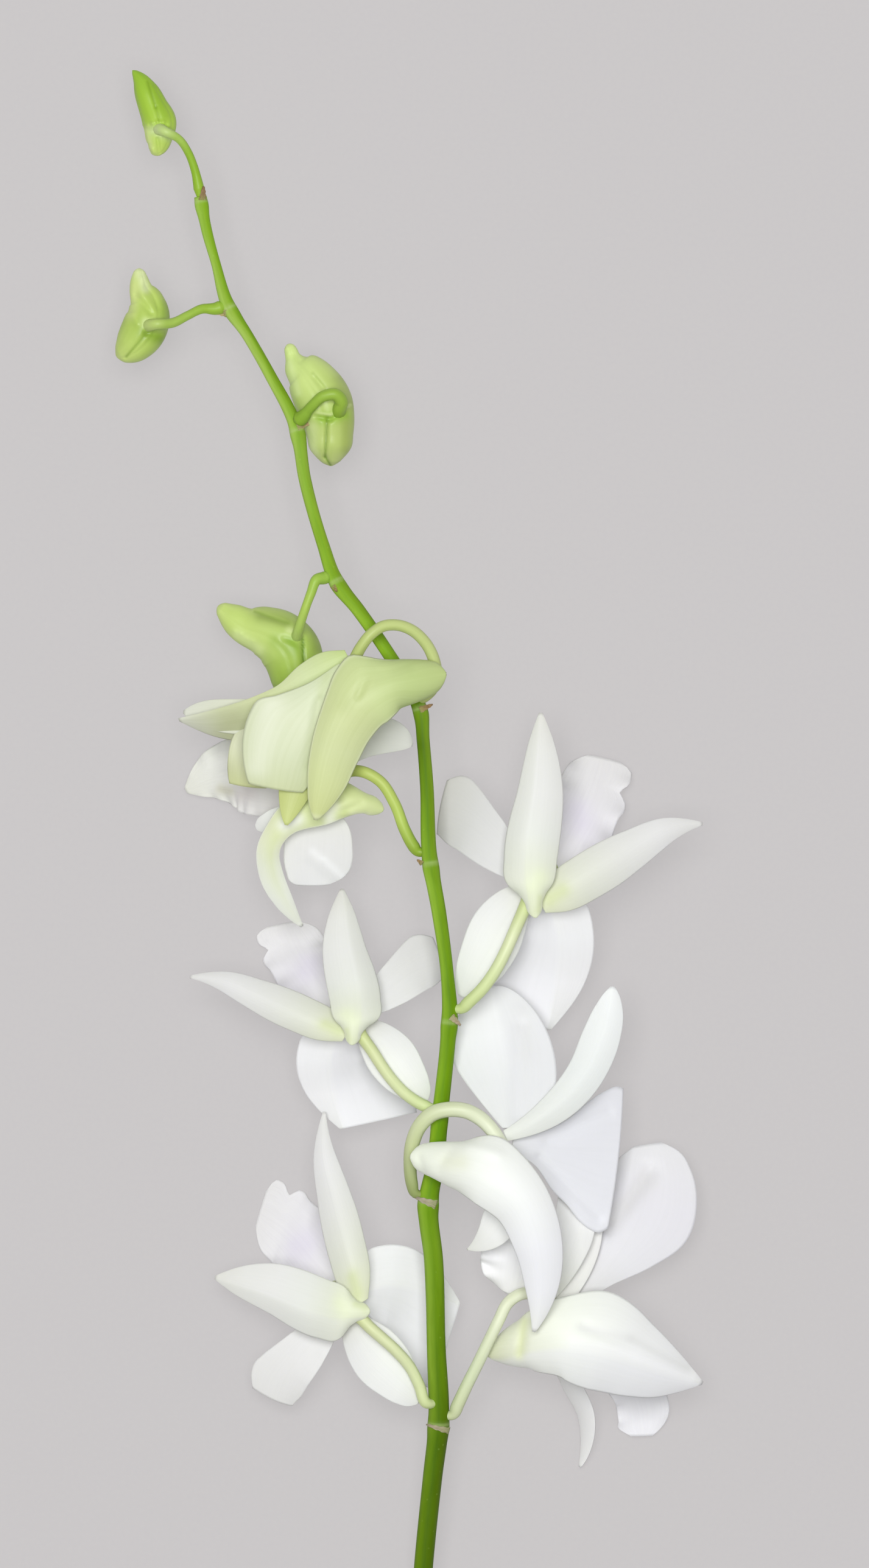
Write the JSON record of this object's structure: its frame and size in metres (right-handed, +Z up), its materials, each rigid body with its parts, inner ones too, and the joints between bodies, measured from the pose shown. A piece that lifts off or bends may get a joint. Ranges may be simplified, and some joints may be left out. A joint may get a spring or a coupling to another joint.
{
  "type": "orchid spray",
  "caption": "Cut spray of white dendrobium orchid lying on its side: an arched green stem with open flowers on curved stalks and green buds towards the tip.",
  "frame": {"origin": "middle of the underside of the bounding box, on the surface that the spray lies on", "axes": "+Y along the stem from its cut end to its tip, +X to the right of it seen from above, +Z up from the surface"},
  "size_m": [0.1346, 0.4194, 0.0454],
  "materials": {
    "stem": "satin",
    "pedicel": "satin",
    "bud": "semi-gloss",
    "cream_tepal": "satin",
    "white_tepal": "satin",
    "lip": "satin"
  },
  "bodies": {
    "root": {"stem": "stem", "bud_1": "bud", "bud_1_pedicel": "pedicel", "bud_2": "bud", "bud_2_pedicel": "pedicel", "bud_3": "bud", "bud_3_pedicel": "pedicel", "bud_4": "bud", "bud_4_pedicel": "pedicel", "flower_1_pedicel": "pedicel", "flower_1_dorsal_sepal": "cream_tepal", "flower_1_left_sepal": "cream_tepal", "flower_1_right_sepal": "cream_tepal", "flower_1_left_petal": "cream_tepal", "flower_1_right_petal": "cream_tepal", "flower_1_lip": "cream_tepal", "flower_2_pedicel": "pedicel", "flower_2_dorsal_sepal": "white_tepal", "flower_2_left_sepal": "white_tepal", "flower_2_right_sepal": "white_tepal", "flower_2_left_petal": "white_tepal", "flower_2_right_petal": "white_tepal", "flower_2_lip": "lip", "flower_3_pedicel": "pedicel", "flower_3_dorsal_sepal": "white_tepal", "flower_3_left_sepal": "white_tepal", "flower_3_right_sepal": "white_tepal", "flower_3_left_petal": "white_tepal", "flower_3_right_petal": "white_tepal", "flower_3_lip": "lip", "flower_4_pedicel": "pedicel", "flower_4_dorsal_sepal": "white_tepal", "flower_4_left_sepal": "white_tepal", "flower_4_right_sepal": "white_tepal", "flower_4_left_petal": "white_tepal", "flower_4_right_petal": "white_tepal", "flower_4_lip": "lip", "flower_5_pedicel": "pedicel", "flower_5_dorsal_sepal": "white_tepal", "flower_5_left_sepal": "white_tepal", "flower_5_right_sepal": "white_tepal", "flower_5_left_petal": "white_tepal", "flower_5_right_petal": "white_tepal", "flower_5_lip": "lip", "flower_6_pedicel": "pedicel", "flower_6_dorsal_sepal": "white_tepal", "flower_6_left_sepal": "white_tepal", "flower_6_right_sepal": "white_tepal", "flower_6_left_petal": "white_tepal", "flower_6_right_petal": "white_tepal", "flower_6_lip": "lip", "flower_7_pedicel": "pedicel", "flower_7_dorsal_sepal": "white_tepal", "flower_7_left_sepal": "white_tepal", "flower_7_right_sepal": "white_tepal", "flower_7_left_petal": "white_tepal", "flower_7_right_petal": "white_tepal", "flower_7_lip": "lip"}
  },
  "joints": []
}
